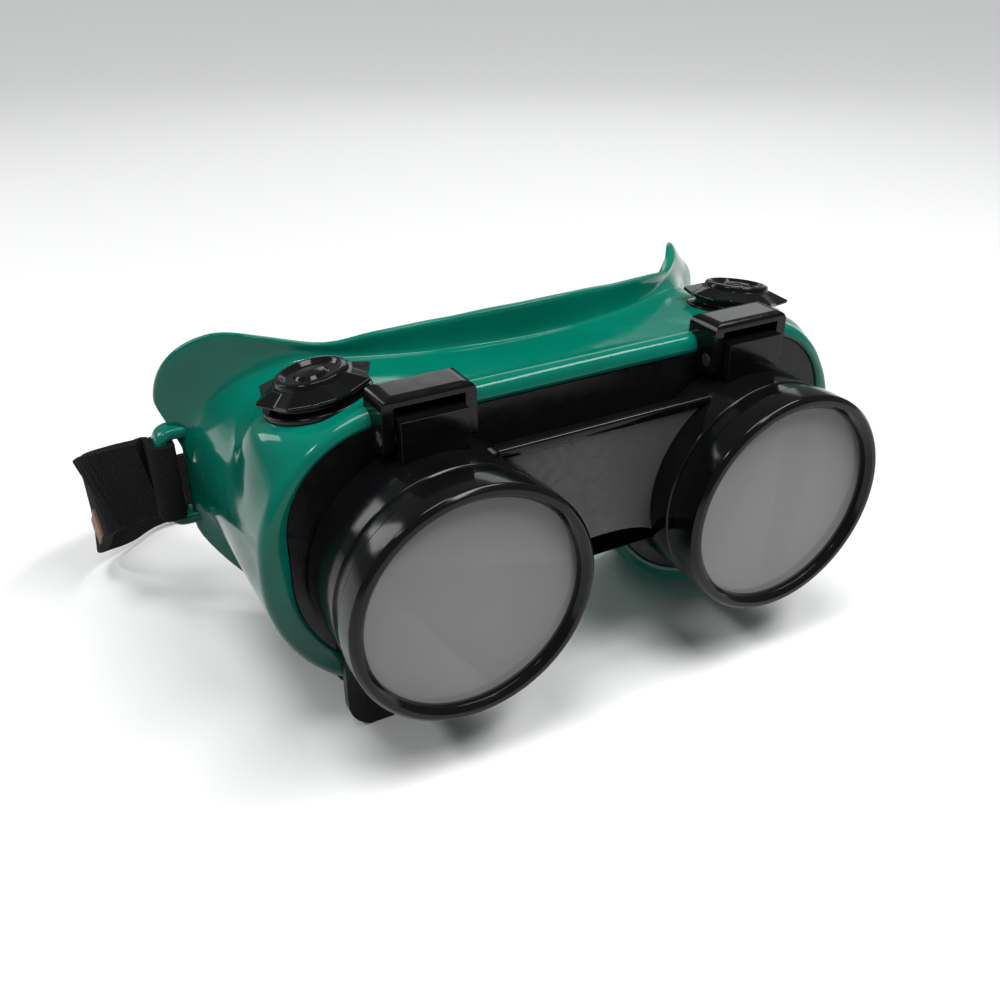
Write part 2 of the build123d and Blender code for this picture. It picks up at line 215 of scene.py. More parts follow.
class Shader:
    """A principled material with helpers for its procedural detail."""

    def __init__(self, name, colour, roughness, **settings):
        self.material = bpy.data.materials.new(name)
        self.material.use_nodes = True
        self.tree = self.material.node_tree
        self.main = self.tree.nodes["Principled BSDF"]
        self.main.inputs["Base Color"].default_value = (*colour, 1)
        self.main.inputs["Roughness"].default_value = roughness
        for socket, value in settings.items():
            self.main.inputs[socket.replace("_", " ")].default_value = value
        self.normal = None
        self.place = self.add("ShaderNodeTexCoord").outputs["Object"]

    def add(self, kind, **values):
        node = self.tree.nodes.new(kind)
        for name, value in values.items():
            setattr(node, name, value)
        return node

    def link(self, source, socket):
        if hasattr(source, "links"):
            self.tree.links.new(source, socket)
        else:
            socket.default_value = source

    def math(self, kind, a, b=0.0):
        node = self.add("ShaderNodeMath", operation=kind)
        self.link(a, node.inputs[0])
        self.link(b, node.inputs[1])
        return node.outputs[0]

    def noise(self, scale, detail=2.0, stretch=(1, 1, 1), distortion=0.0):
        shift = self.add("ShaderNodeMapping")
        shift.inputs["Scale"].default_value = stretch
        self.link(self.place, shift.inputs["Vector"])
        node = self.add("ShaderNodeTexNoise")
        node.inputs["Scale"].default_value = scale
        node.inputs["Detail"].default_value = detail
        node.inputs["Distortion"].default_value = distortion
        self.link(shift.outputs[0], node.inputs["Vector"])
        return node.outputs["Fac"]

    def spread(self, value, low, high, to_low, to_high):
        node = self.add("ShaderNodeMapRange", clamp=True)
        limits = {"From Min": low, "From Max": high, "To Min": to_low, "To Max": to_high}
        for socket, number in limits.items():
            node.inputs[socket].default_value = number
        self.link(value, node.inputs["Value"])
        return node.outputs["Result"]

    def blend(self, share, a, b):
        node = self.add("ShaderNodeMix", data_type="RGBA")
        self.link(share, node.inputs["Factor"])
        for colour, socket in ((a, node.inputs[6]), (b, node.inputs[7])):
            self.link(colour if hasattr(colour, "links") else (*colour, 1), socket)
        return node.outputs[2]

    def colour(self, source):
        self.link(source, self.main.inputs["Base Color"])

    def roughness(self, source):
        self.link(source, self.main.inputs["Roughness"])

    def bump(self, height, strength, distance):
        node = self.add("ShaderNodeBump")
        node.inputs["Strength"].default_value = strength
        node.inputs["Distance"].default_value = distance
        self.link(height, node.inputs["Height"])
        if self.normal is not None:
            self.link(self.normal, node.inputs["Normal"])
        self.normal = node.outputs["Normal"]
        self.link(self.normal, self.main.inputs["Normal"])


def green_pvc():
    kit = Shader("green_pvc", (0.0, 0.17, 0.115), 0.12, IOR=1.5, Specular_IOR_Level=0.24)
    cloudy = kit.spread(kit.noise(35, 3), 0.35, 0.7, 0, 1)
    kit.colour(kit.blend(cloudy, (0.0, 0.14, 0.094), (0.001, 0.175, 0.119)))
    kit.roughness(kit.spread(kit.noise(260, 4), 0.3, 0.7, 0.06, 0.14))
    kit.bump(kit.noise(42, 1, distortion=0.3), 0.16, 0.0012)
    kit.bump(kit.noise(2600, 3), 0.03, 0.0001)
    return kit.material


def black_plastic():
    kit = Shader("black_plastic", (0.006, 0.006, 0.0065), 0.1, IOR=1.5, Specular_IOR_Level=0.22)
    cloudy = kit.spread(kit.noise(80, 3), 0.35, 0.7, 0, 1)
    kit.colour(kit.blend(cloudy, (0.003, 0.003, 0.0035), (0.005, 0.005, 0.0055)))
    kit.roughness(kit.spread(kit.noise(420, 5), 0.35, 0.75, 0.09, 0.17))
    kit.bump(kit.noise(55, 1), 0.06, 0.0005)
    kit.bump(kit.noise(2400, 3), 0.02, 0.0001)
    return kit.material


def matte_plastic():
    kit = Shader("black_matte_plastic", (0.035, 0.035, 0.036), 0.5, IOR=1.48)
    cloudy = kit.spread(kit.noise(60, 4), 0.35, 0.7, 0, 1)
    kit.colour(kit.blend(cloudy, (0.075, 0.076, 0.076), (0.092, 0.092, 0.092)))
    kit.roughness(kit.spread(kit.noise(500, 3), 0.3, 0.7, 0.42, 0.62))
    kit.bump(kit.noise(1500, 2), 0.35, 0.00012)
    return kit.material


def frame_plastic():
    kit = Shader("frame_plastic", (0.006, 0.006, 0.0065), 0.25, IOR=1.48, Specular_IOR_Level=0.22)
    kit.roughness(kit.spread(kit.noise(300, 4), 0.3, 0.7, 0.2, 0.42))
    kit.bump(kit.noise(1200, 3), 0.12, 0.0001)
    return kit.material


def webbing():
    """Woven elastic: rubber cores make ribs along the band, and the weft crosses them."""
    kit = Shader("elastic_webbing", (0.004, 0.004, 0.0045), 0.9, Specular_IOR_Level=0.2)
    split = kit.add("ShaderNodeSeparateXYZ")
    kit.link(kit.add("ShaderNodeUVMap", uv_map="along").outputs["UV"], split.inputs[0])
    along, across = split.outputs[0], split.outputs[1]
    rib_pitch, row_pitch = 0.00125, 0.0009
    rib = kit.math("SINE", kit.math("MULTIPLY", across, 2 * math.pi / rib_pitch))
    row = kit.math("MULTIPLY", along, 2 * math.pi / row_pitch)
    odd = kit.math("MULTIPLY", kit.math("SIGN", rib), math.pi / 2)
    pick = kit.math("SINE", kit.math("ADD", row, odd))
    lift = kit.math("ADD", kit.math("MULTIPLY", pick, 0.35), 0.65)
    height = kit.math("MULTIPLY", kit.math("ABSOLUTE", rib), lift)
    # Colour follows the weave's height. It is darker in the hollows between the ribs, which is painted
    # shade, and the wear noise varies it at random.
    worn = kit.spread(kit.noise(900, 3), 0.3, 0.7, 0.7, 1.2)
    hollow_shade_and_wear = kit.math("MULTIPLY", kit.spread(height, 0, 1, 0.2, 1), worn)
    kit.colour(kit.blend(hollow_shade_and_wear, (0.0008, 0.0008, 0.0008), (0.007, 0.007, 0.008)))
    kit.bump(height, 0.9, 0.00035)
    kit.bump(kit.noise(2500, 3), 0.3, 0.0002)
    return kit.material


def thread():
    kit = Shader("thread", (0.03, 0.03, 0.034), 0.6, Sheen_Weight=0.4)
    kit.bump(kit.noise(4000, 2, stretch=(1, 1, 3)), 0.5, 0.0001)
    return kit.material


def tan_leather():
    kit = Shader("tan_tab", (0.25, 0.13, 0.065), 0.6)
    grain = kit.spread(kit.noise(500, 4), 0.3, 0.7, 0, 1)
    kit.colour(kit.blend(grain, (0.2, 0.1, 0.05), (0.3, 0.17, 0.09)))
    kit.bump(kit.noise(1300, 3), 0.5, 0.0002)
    return kit.material


def steel():
    kit = Shader("steel", (0.55, 0.55, 0.56), 0.3, Metallic=1.0)
    kit.roughness(kit.spread(kit.noise(900, 3, stretch=(0.1, 1, 1)), 0.3, 0.7, 0.2, 0.42))
    kit.bump(kit.noise(1600, 2, stretch=(0.1, 1, 1)), 0.15, 0.00005)
    return kit.material


def cover_glass():
    # The pale grey base colour, half opaque, is painted reflection. It stands in for the bright
    # surroundings the clear cover lens reflects.
    kit = Shader("cover_glass", (0.71, 0.71, 0.697), 0.06, Alpha=0.5, IOR=1.52)
    kit.roughness(kit.spread(kit.noise(120, 4), 0.35, 0.75, 0.04, 0.16))
    kit.bump(kit.noise(35, 1), 0.03, 0.0002)
    return kit.material


def filter_glass():
    kit = Shader("filter_glass", (0.20, 0.20, 0.195), 0.3, IOR=1.52)
    # The light grey base colour is painted reflection. It stands in for the bright surroundings the lens
    # reflects and is far lighter than a real shade filter. The noise only varies it at random.
    cloudy = kit.spread(kit.noise(40, 2), 0.3, 0.7, 0, 1)
    kit.colour(kit.blend(cloudy, (0.51, 0.51, 0.502), (0.55, 0.548, 0.537)))
    kit.bump(kit.noise(1500, 2), 0.03, 0.00005)
    return kit.material


def clear_glass():
    kit = Shader("clear_lens", (0.75, 0.8, 0.79), 0.05, Alpha=0.22, IOR=1.5)
    kit.roughness(kit.spread(kit.noise(150, 4), 0.35, 0.75, 0.03, 0.14))
    return kit.material


def gasket_rubber():
    kit = Shader("gasket_rubber", (0.02, 0.02, 0.02), 0.75)
    kit.bump(kit.noise(1800, 3), 0.3, 0.0001)
    return kit.material


# ---------------------------------------------------------------- mesh helpers

def add_piece(name, mesh, material, body, replaced=()):
    piece = bpy.data.objects.new(name, mesh)
    bpy.context.scene.collection.objects.link(piece)
    mesh.materials.append(material)
    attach(piece, body)
    if replaced:
        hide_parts(*replaced)
    return piece


def make_mesh(name, points, faces, smooth=True):
    mesh = bpy.data.meshes.new(name)
    mesh.from_pydata([at(*p) for p in points], [], faces)
    work = bmesh.new()
    work.from_mesh(mesh)
    bmesh.ops.remove_doubles(work, verts=work.verts, dist=1e-7)
    bmesh.ops.recalc_face_normals(work, faces=work.faces)
    work.to_mesh(mesh)
    work.free()
    for face in mesh.polygons:
        face.use_smooth = smooth
    return mesh


def loop_faces(rows, count, wrap_rows=True):
    """Quads between rows of points that each close on themselves."""
    faces = []
    last = rows if wrap_rows else rows - 1
    for r in range(last):
        for i in range(count):
            a, b = r * count + i, r * count + (i + 1) % count
            step = ((r + 1) % rows) * count - r * count
            faces.append((a, b, b + step, a + step))
    return faces


def curve(a, corner, b, t):
    """Point at t on the curve that leaves a and meets b along the lines to a corner."""
    return (1 - t) ** 2 * a + 2 * t * (1 - t) * corner + t**2 * b


def corner_points(here, before, after, reach, steps):
    """A corner turned to an arc that starts the given reach along each side."""
    start = here + before.normalized() * reach
    end = here + after.normalized() * reach
    return [curve(start, here, end, k / steps) for k in range(steps + 1)]


def rounded(corners, steps=4):
    """A closed outline from (a, b, radius) corners, with each corner turned to an arc."""
    points = []
    for i, (a, b, radius) in enumerate(corners):
        here = Vector((a, b))
        before = Vector(corners[i - 1][:2]) - here
        after = Vector(corners[(i + 1) % len(corners)][:2]) - here
        if radius <= 0:
            points.append(here)
            continue
        reach = radius / math.tan(before.angle(after) / 2)
        longest = 0.49 * min(before.length, after.length)
        points += corner_points(here, before, after, min(reach, longest), steps)
    return points


def rounded_open(corners, steps=14):
    """An open path from (x, y, radius) corners, with each inner corner turned to an arc."""
    path = [Vector(corners[0][:2])]
    for i in range(1, len(corners) - 1):
        here = Vector(corners[i][:2])
        before = Vector(corners[i - 1][:2]) - here
        after = Vector(corners[i + 1][:2]) - here
        reach = corners[i][2] / math.tan(before.angle(after) / 2)
        path += corner_points(here, before, after, reach, steps)
    path.append(Vector(corners[-1][:2]))
    return path


def resample(path, step):
    """The same path with its points evenly spaced."""
    lengths = [0.0]
    for a, b in zip(path, path[1:]):
        lengths.append(lengths[-1] + (b - a).length)
    count = round(lengths[-1] / step)
    even, k = [], 0
    for i in range(count + 1):
        want = lengths[-1] * i / count
        while k < len(path) - 2 and lengths[k + 1] < want:
            k += 1
        span = lengths[k + 1] - lengths[k]
        even.append(path[k] + (path[k + 1] - path[k]) * ((want - lengths[k]) / span if span else 0))
    return even


def turned(corners, x, steps=4, around=160):
    """Points and faces of a ring whose (radius, y) section turns about a cup's axis."""
    section = rounded(corners, steps)
    points = []
    for radius, y in section:
        for i in range(around):
            turn = 2 * math.pi * i / around
            points.append((x + radius * math.cos(turn), y, radius * math.sin(turn)))
    return points, loop_faces(len(section), around)


def crease_shading(mesh, degrees):
    """Smooth shading with sharp edges where the faces turn by more than the angle."""
    work = bmesh.new()
    work.from_mesh(mesh)
    for edge in work.edges:
        edge.smooth = len(edge.link_faces) == 2 and edge.calc_face_angle() < math.radians(degrees)
    work.to_mesh(mesh)
    work.free()


def freeze(piece):
    """Give the piece the mesh that its modifiers make."""
    graph = bpy.context.evaluated_depsgraph_get()
    made = bpy.data.meshes.new_from_object(piece.evaluated_get(graph))
    piece.modifiers.clear()
    piece.data = made


def soften(piece, width, angle):
    """Round the piece's hard edges."""
    bevel = piece.modifiers.new("edges", "BEVEL")
    bevel.width = width / 1000
    bevel.segments = 3
    bevel.limit_method = "ANGLE"
    bevel.angle_limit = math.radians(angle)
    bevel.harden_normals = True
    freeze(piece)


def cut(piece, points, faces, kind="DIFFERENCE"):
    """Cut a closed shape out of the piece, or keep only what lies inside the shape."""
    tool = bpy.data.objects.new("tool", make_mesh("tool", points, faces))
    bpy.context.scene.collection.objects.link(tool)
    change = piece.modifiers.new("cut", "BOOLEAN")
    change.operation = kind
    change.solver = "EXACT"
    change.object = tool
    bpy.context.view_layer.update()
    freeze(piece)
    bpy.data.objects.remove(tool)


def box_shape(x0, x1, y0, y1, z0, z1):
    points = [(x, y, z) for x in (x0, x1) for y in (y0, y1) for z in (z0, z1)]
    faces = [(0, 1, 3, 2), (4, 6, 7, 5), (0, 4, 5, 1), (2, 3, 7, 6), (0, 2, 6, 4), (1, 5, 7, 3)]
    return points, faces


def drum_shape(place, radius, low, high, around=64):
    """A closed cylinder in the frame of a 4x4 matrix."""
    points = []
    for height in (low, high):
        for i in range(around):
            turn = 2 * math.pi * i / around
            points.append(tuple(place @ Vector((radius * math.cos(turn), radius * math.sin(turn), height))))
    faces = loop_faces(2, around, wrap_rows=False)
    faces += [tuple(range(around)), tuple(range(around, 2 * around))]
    return points, faces


def prism(outline, low, high, to_point):
    """A closed shape between two copies of an outline; to_point(a, b, height) places each corner."""
    count = len(outline)
    points = [to_point(a, b, low) for a, b in outline] + [to_point(a, b, high) for a, b in outline]
    faces = loop_faces(2, count, wrap_rows=False)
    faces += [tuple(range(count)), tuple(range(count, 2 * count))]
    return points, faces


def along_x(a, b, height):
    return height, a, b


def along_y(a, b, height):
    return a, height, b


def merge(shapes):
    """One shape from several."""
    points, faces = [], []
    for more_points, more_faces in shapes:
        start = len(points)
        points += more_points
        faces += [tuple(start + i for i in face) for face in more_faces]
    return points, faces


# ---------------------------------------------------------------- soft mask

def arc(p, q, r, count):
    """Points from p to just before r on the circle through p, q and r."""
    (ax, ay), (bx, by), (cx, cy) = p, q, r
    d = 2 * (ax * (by - cy) + bx * (cy - ay) + cx * (ay - by))
    a2, b2, c2 = ax * ax + ay * ay, bx * bx + by * by, cx * cx + cy * cy
    ux = (a2 * (by - cy) + b2 * (cy - ay) + c2 * (ay - by)) / d
    uy = (a2 * (cx - bx) + b2 * (ax - cx) + c2 * (bx - ax)) / d
    radius = math.hypot(ax - ux, ay - uy)
    start = math.atan2(ay - uy, ax - ux)
    sweep = (math.atan2(cy - uy, cx - ux) - start) % (2 * math.pi)
    middle = (math.atan2(by - uy, bx - ux) - start) % (2 * math.pi)
    if middle > sweep:
        sweep -= 2 * math.pi
    turns = [start + sweep * i / count for i in range(count)]
    return [(ux + radius * math.cos(t), uy + radius * math.sin(t)) for t in turns]


def line(p, q, count):
    return [(p[0] + (q[0] - p[0]) * i / count, p[1] + (q[1] - p[1]) * i / count) for i in range(count)]


def outline(shape, inset=0.0):
    """Front view of the mask, the same number of points along each edge at any size."""
    half_w, top, corner_r, lower_r, nose_r, arch_z = shape
    half_w, top, corner_r = half_w - inset, top - inset, corner_r - inset
    lower_r, nose_r, arch_z = lower_r - inset, nose_r - inset, arch_z + inset
    slant = math.sqrt(0.5)
    mid_r = (lower_r + nose_r) / 2
    lobe_x = half_w - lower_r
    side_top = (half_w, top - corner_r)
    corner = (half_w - corner_r, top)
    corner_mid = (half_w - corner_r * (1 - slant), top - corner_r * (1 - slant))
    lobe_mid = (lobe_x + lower_r * slant, -lower_r * slant)
    lobe_low = (lobe_x, -lower_r)
    tip, mid = math.radians(24), math.radians(57)
    nose_mid = (CUP_X - mid_r * math.cos(mid), -mid_r * math.sin(mid))
    nose_tip = (CUP_X - nose_r * math.cos(tip), -nose_r * math.sin(tip))
    half = line((0, top), corner, 12)
    half += arc(corner, corner_mid, side_top, 18)
    half += line(side_top, (half_w, 0), 3)
    half += arc((half_w, 0), lobe_mid, lobe_low, 14)
    half += arc(lobe_low, nose_mid, nose_tip, 12)
    arch = arc(nose_tip, (0, arch_z), (-nose_tip[0], nose_tip[1]), 12)
    half += arch[:7]
    return half + [(-x, z) for x, z in reversed(half[1:-1])]


def face_y(x):
    """Depth of the wearer's face at a distance from the middle."""
    drop = math.sqrt(FACE_ARC_R**2 - min(abs(x), FACE_ARC_HALF_W) ** 2)
    y = FACE_Y + FACE_ARC_R - drop
    if abs(x) > FACE_ARC_HALF_W:
        y += FACE_ARC_HALF_W / drop * (abs(x) - FACE_ARC_HALF_W)
    return y


def wall_row(y, inset):
    """The mask's wall at a depth: it tapers in a straight line from lip to rear."""
    share = (y - LIP_FRONT_Y) / (REAR_PLANE_Y - LIP_FRONT_Y)
    front, rear = outline(OUTER, inset), outline(REAR, inset)
    return [(a[0] + (b[0] - a[0]) * share, a[1] + (b[1] - a[1]) * share) for a, b in zip(front, rear)]


def wall_rows_to_face(inset, y_start, behind, count):
    """Rows along the wall, from one depth to the face's curve."""
    near = wall_row(y_start, inset)
    far = wall_row(REAR_PLANE_Y, inset)
    ends = []
    for a, b in zip(near, far):
        y = face_y(b[0]) + behind
        for _ in range(6):
            share = (y - y_start) / (REAR_PLANE_Y - y_start)
            y = face_y(a[0] + (b[0] - a[0]) * share) + behind
        ends.append(y)
    rows = []
    for k in range(count + 1):
        row = []
        for a, b, end in zip(near, far, ends):
            y = y_start + (end - y_start) * k / count
            share = (y - y_start) / (REAR_PLANE_Y - y_start)
            row.append((a[0] + (b[0] - a[0]) * share, y, a[1] + (b[1] - a[1]) * share))
        rows.append(row)
    return rows


def stepped(table, x):
    """Value at x on a smooth curve through (x, value) rows."""
    if x <= table[0][0]:
        return table[0][1]
    for (x0, v0), (x1, v1) in zip(table, table[1:]):
        if x <= x1:
            share = (x - x0) / (x1 - x0)
            return v0 + (v1 - v0) * share * share * (3 - 2 * share)
    return table[-1][1]


def flange_edge():
    """Outer edge of the face flange as (x, z, curl): soft, so it sags and its corner curls back."""
    edge = []
    for x, z in outline(FLANGE):
        curl = 0.0
        room = min(1.0, 3 * max(0.0, 1 - abs(z - LUG_Z) / LUG_CLEAR_H))
        if abs(x) > LUG_CLEAR_X:
            x = math.copysign(abs(x) + (LUG_CLEAR_X - abs(x)) * room * room * (3 - 2 * room), x)
        if z > 20:
            curl = stepped(CORNER_CURL, x)
            z += stepped(EDGE_SAG, x)
            x -= stepped(CORNER_PULL, x)
        edge.append((x, z, curl))
    return edge


def between(a, b, share):
    return tuple(p + (q - p) * share for p, q in zip(a, b))


def toward(centre, edge, share):
    """(x, z) part of the way from a wall point to the flange's edge."""
    x, z = edge
    return centre[0] + (x - centre[0]) * share, centre[2] + (z - centre[2]) * share


def lip_rows():
    """The rolled lip, from the opening's back edge out to the wall."""
    opening, outer = outline(OPENING), outline(OUTER)
    rows = [[(x, LIP_BACK_Y, z) for x, z in opening]]
    rows.append([(x, LIP_FRONT_Y + 0.7, z) for x, z in opening])
    for share, rise in ((0.06, 0.12), (0.14, 0.0), (0.32, -0.2)):
        flat = [between(a, b, share) for a, b in zip(opening, outer)]
        rows.append([(x, LIP_FRONT_Y + rise, z) for x, z in flat])
    for degrees in (0, 22, 45, 68, 90):
        turn = math.radians(degrees)
        row = []
        for a, b in zip(opening, outer):
            gap = math.dist(a, b)
            radius = min(LIP_ROUND, 0.6 * gap)
            x, z = between(b, a, radius * (1 - math.sin(turn)) / gap)
            row.append((x, LIP_FRONT_Y + radius * (1 - math.cos(turn)), z))
        rows.append(row)
    return rows


def bend_rows(before, corner, edge):
    """The outer bend from wall to flange, and the row where it ends."""
    bend_r = 5.5
    starts, ends = [], []
    for b, c, (x, z, curl) in zip(before, corner, edge):
        step = Vector(c) - Vector(b)
        starts.append(Vector(c) - step.normalized() * min(bend_r, 0.8 * step.length))
        out = Vector((x, face_y(x) + curl - FLANGE_T, z)) - Vector(c)
        ends.append(Vector(c) + out * min(0.55, bend_r / max(out.length, 0.1)))
    rows = []
    for k in range(6):
        rows.append([tuple(curve(a, Vector(c), b, k / 5)) for a, c, b in zip(starts, corner, ends)])
    return rows, ends


def flange_rows(bend_end, edge, wall_end):
    """The flange's front, its thin edge, and its back as far as the inner wall."""
    rows = []
    for share in (0.5, 1.0):
        row = []
        for b, (x, z, curl) in zip(bend_end, edge):
            u, w = toward(b, (x, z), share)
            row.append((u, face_y(u) + curl * share**2 - FLANGE_T, w))
        rows.append(row)
    for inset, depth in ((-0.1, -1.7), (-0.1, -0.5), (0.5, 0.0)):
        row = []
        for (x, z, curl), c in zip(edge, wall_end):
            away = Vector((x - c[0], z - c[2]))
            tip = Vector((x, z)) - away.normalized() * inset if away.length else Vector((x, z))
            row.append((tip.x, face_y(tip.x) + curl + depth, tip.y))
        rows.append(row)
    for share in (0.5, 0.12):
        row = []
        for c, (x, z, curl) in zip(wall_end, edge):
            u, w = toward(c, (x, z), share)
            row.append((u, face_y(u) + curl * share**2, w))
        rows.append(row)
    return rows


def mask_rows():
    """Closed section of the mask, row by row: lip, wall, flange, and back along the inside."""
    rows = lip_rows()
    wall = wall_rows_to_face(0.0, LIP_FRONT_Y + LIP_ROUND + 2, -FLANGE_T, 18)
    inner = wall_rows_to_face(WALL_T, LIP_BACK_Y, 0.0, 8)
    edge = flange_edge()
    rows += [[with_pads(p) for p in row] for row in wall[:-2]]
    bend, bend_end = bend_rows(wall[-2], wall[-1], edge)
    rows += bend
    rows += flange_rows(bend_end, edge, inner[-1])
    rows += list(reversed(inner[1:-1]))
    rows.append([(x, LIP_BACK_Y + 0.4, z) for x, z in wall_row(LIP_BACK_Y, WALL_T)])
    rows.append([(x, LIP_BACK_Y, z) for x, z in wall_row(LIP_BACK_Y, WALL_T + 0.4)])
    return rows


def lug_shape(side):
    """Loop for the strap: a rounded bar bent round the slot and rooted in the mask's side."""
    section = rounded([(-1.35, -3, 1.1), (1.35, -3, 1.1), (1.35, 3, 1.1), (-1.35, 3, 1.1)], 3)
    high = LUG_HALF_H
    path = rounded([
        (LUG_ROOT_X, high, 0), (LUG_OUT_X, high, 3.2), (LUG_OUT_X, -high, 3.2), (LUG_ROOT_X, -high, 0),
    ], 6)
    points = []
    for i, here in enumerate(path):
        before = path[max(i - 1, 0)]
        after = path[min(i + 1, len(path) - 1)]
        along = (after - before).normalized()
        normal = Vector((along.y, -along.x))
        for a, b in section:
            x, z = here - normal * a
            points.append((side * x, LUG_Y + b, z + LUG_Z))
    count = len(section)
    faces = loop_faces(len(path), count, wrap_rows=False)
    faces += [tuple(range(count)), tuple(range(len(points) - count, len(points)))]
    return points, faces


def vent_place(side, upper):
    """Matrix of a vent's seat: its own Z points away from the mask."""
    x, z = UPPER_VENT if upper else LOWER_VENT
    pitch = UPPER_VENT_PITCH if upper else 0
    tilt = side * VENT_TILT if upper else 180 - side * VENT_TILT
    turn = Matrix.Rotation(math.radians(pitch), 4, "X") @ Matrix.Rotation(math.radians(tilt), 4, "Y")
    return Matrix.Translation((side * x, VENT_Y, z)) @ turn


def spun(place, corners, around=96, steps=4):
    """Points and faces of a ring whose (radius, height) section turns about a matrix's Z."""
    section = rounded(corners, steps)
    points = []
    for radius, height in section:
        for i in range(around):
            turn = 2 * math.pi * i / around
            points.append(tuple(place @ Vector((radius * math.cos(turn), radius * math.sin(turn), height))))
    return points, loop_faces(len(section), around)


def with_pads(point):
    """Swell the wall out to a flat pad under each vent."""
    here = Vector(point)
    for side in SIDES.values():
        for upper in (True, False):
            place = vent_place(side, upper)
            spot = place.inverted() @ here
            share = min(1.0, max(0.0, (PAD_R - math.hypot(spot.x, spot.y)) / PAD_FADE))
            if share > 0 and PAD_DEPTH < spot.z < PAD_TOP:
                spot.z += (PAD_TOP - spot.z) * share * share * (3 - 2 * share)
                here = place @ spot
    return tuple(here)


def build_mask(material):
    rows = mask_rows()
    count = len(rows[0])
    points = [p for row in rows for p in row]
    mask = add_piece("mask_shell", make_mesh("mask_shell", points, loop_faces(len(rows), count)),
                     material, "mask", ["goggle_body"])
    smooth = mask.modifiers.new("smooth", "SUBSURF")
    smooth.levels = 1
    smooth.render_levels = 1
    freeze(mask)
    for side in SIDES.values():
        x, slot_half_w = side * CUP_X, HOOD_HALF_W + 0.02
        cut(mask, *box_shape(x - slot_half_w, x + slot_half_w, 20, LIP_BACK_Y, 25, 39))
        for upper in (True, False):
            cut(mask, *drum_shape(vent_place(side, upper), VENT_HOLE_R, -9, 9))
    crease_shading(mask.data, CREASE)
    seats = []
    for side in SIDES.values():
        for upper in (True, False):
            seat = [(6.7, -5, 0.3), (SEAT_R, -5, 0.5), (SEAT_R, -0.5, 0.3), (6.7, -0.5, 0.3)]
            seats.append(spun(vent_place(side, upper), seat))
    add_piece("vent_seats", make_mesh("vent_seats", *merge(seats)), material, "mask")
    lugs = make_mesh("strap_lugs", *merge([lug_shape(side) for side in SIDES.values()]))
    lug_piece = add_piece("strap_lugs", lugs, material, "mask")
    crease_shading(lug_piece.data, CREASE)


# ---------------------------------------------------------------- vents

def cap_roof(place):
    """Petalled cap: a flat crown, and folded petals that fall to pointed tips."""
    rings = [
        (7.6, 4.1, 7.5, 4.1),
        (8.5, 3.9, 8.1, 3.7),
        (12.6, 2.5, 11.0, 1.9),
        (12.5, 1.8, 10.9, 1.2),
        (9.4, 1.2, 9.2, 1.1),
    ]
    points = []
    for tip_r, tip_z, dip_r, dip_z in rings:
        for k in range(2 * PETALS):
            turn = math.pi * k / PETALS
            radius, height = (tip_r, tip_z) if k % 2 == 0 else (dip_r, dip_z)
            points.append(tuple(place @ Vector((radius * math.cos(turn), radius * math.sin(turn), height))))
    count = 2 * PETALS
    faces = loop_faces(len(rings), count, wrap_rows=False)
    faces += [tuple(range(count)), tuple(range(len(points) - count, len(points)))]
    return points, faces


def build_vent(name, side, upper, material):
    place = vent_place(side, upper)
    roof = add_piece(f"{name}_roof", make_mesh(f"{name}_roof", *cap_roof(place), smooth=False),
                     material, "mask", [name])
    soften(roof, 0.28, 8)
    crown = [(0.01, 3.4, 0), (7.8, 3.4, 0.1), (7.4, 5.0, 0.5), (6.3, 5.2, 0.4), (5.4, 4.3, 0.4),
             (3.6, 4.2, 0.3), (2.9, 4.9, 0.5), (0.01, 5.2, 0)]
    skirt = [(5.2, -5.0, 0.2), (6.6, -5.0, 0.2), (6.6, -4.6, 0.2), (11.4, -4.6, 0.4), (11.4, -0.4, 0.5),
             (9.2, -0.1, 0.5), (9.4, 1.5, 0.2), (5.2, 1.5, 0.2)]
    base = make_mesh(f"{name}_base", *merge([spun(place, crown), spun(place, skirt)]))
    crease_shading(base, CREASE)
    add_piece(f"{name}_base", base, material, "mask")


# ---------------------------------------------------------------- hinged front

def build_cap(side_name, side, material):
    """Screw ring: rounded rim, grip bead, and a narrower skirt over the barrel's neck."""
    section = [
        (23.5, -0.7, 0.15), (23.5, -1.7, 0.3), (24.5, -2.8, 0.35), (25.7, -2.8, 0.7), (26.6, -1.9, 0.8),
        (26.6, 3.4, 0.7), (26.0, 4.1, 0.2), (26.0, 6.95, 0.3), (25.2, 6.95, 0.15), (25.2, -0.7, 0.1),
    ]
    mesh = make_mesh(f"screw_ring_{side_name}", *turned(section, side * CUP_X))
    crease_shading(mesh, CREASE)
    add_piece(f"screw_ring_{side_name}", mesh, material, f"cap_{side_name}",
              [f"lens_cap_{side_name}"])


def knuckle_shape(side):
    """Hinge knuckle: a flat-fronted block on the barrel, round behind the pin."""
    x = side * CUP_X
    r = KNUCKLE_R
    turns = [math.radians(v) for v in range(-20, 91, 10)]
    loop = [(PIVOT_Y + r * math.cos(t), PIVOT_Z + r * math.sin(t)) for t in turns]
    loop += [(PIVOT_Y - 0.8, KNUCKLE_TOP), (PIVOT_Y - r, KNUCKLE_TOP), (PIVOT_Y - r, KNUCKLE_FOOT)]
    loop += [(PIVOT_Y + 0.4, KNUCKLE_FOOT), (PIVOT_Y + 0.4, 26.2)]
    return prism(loop, x - KNUCKLE_HALF_W, x + KNUCKLE_HALF_W, along_x)


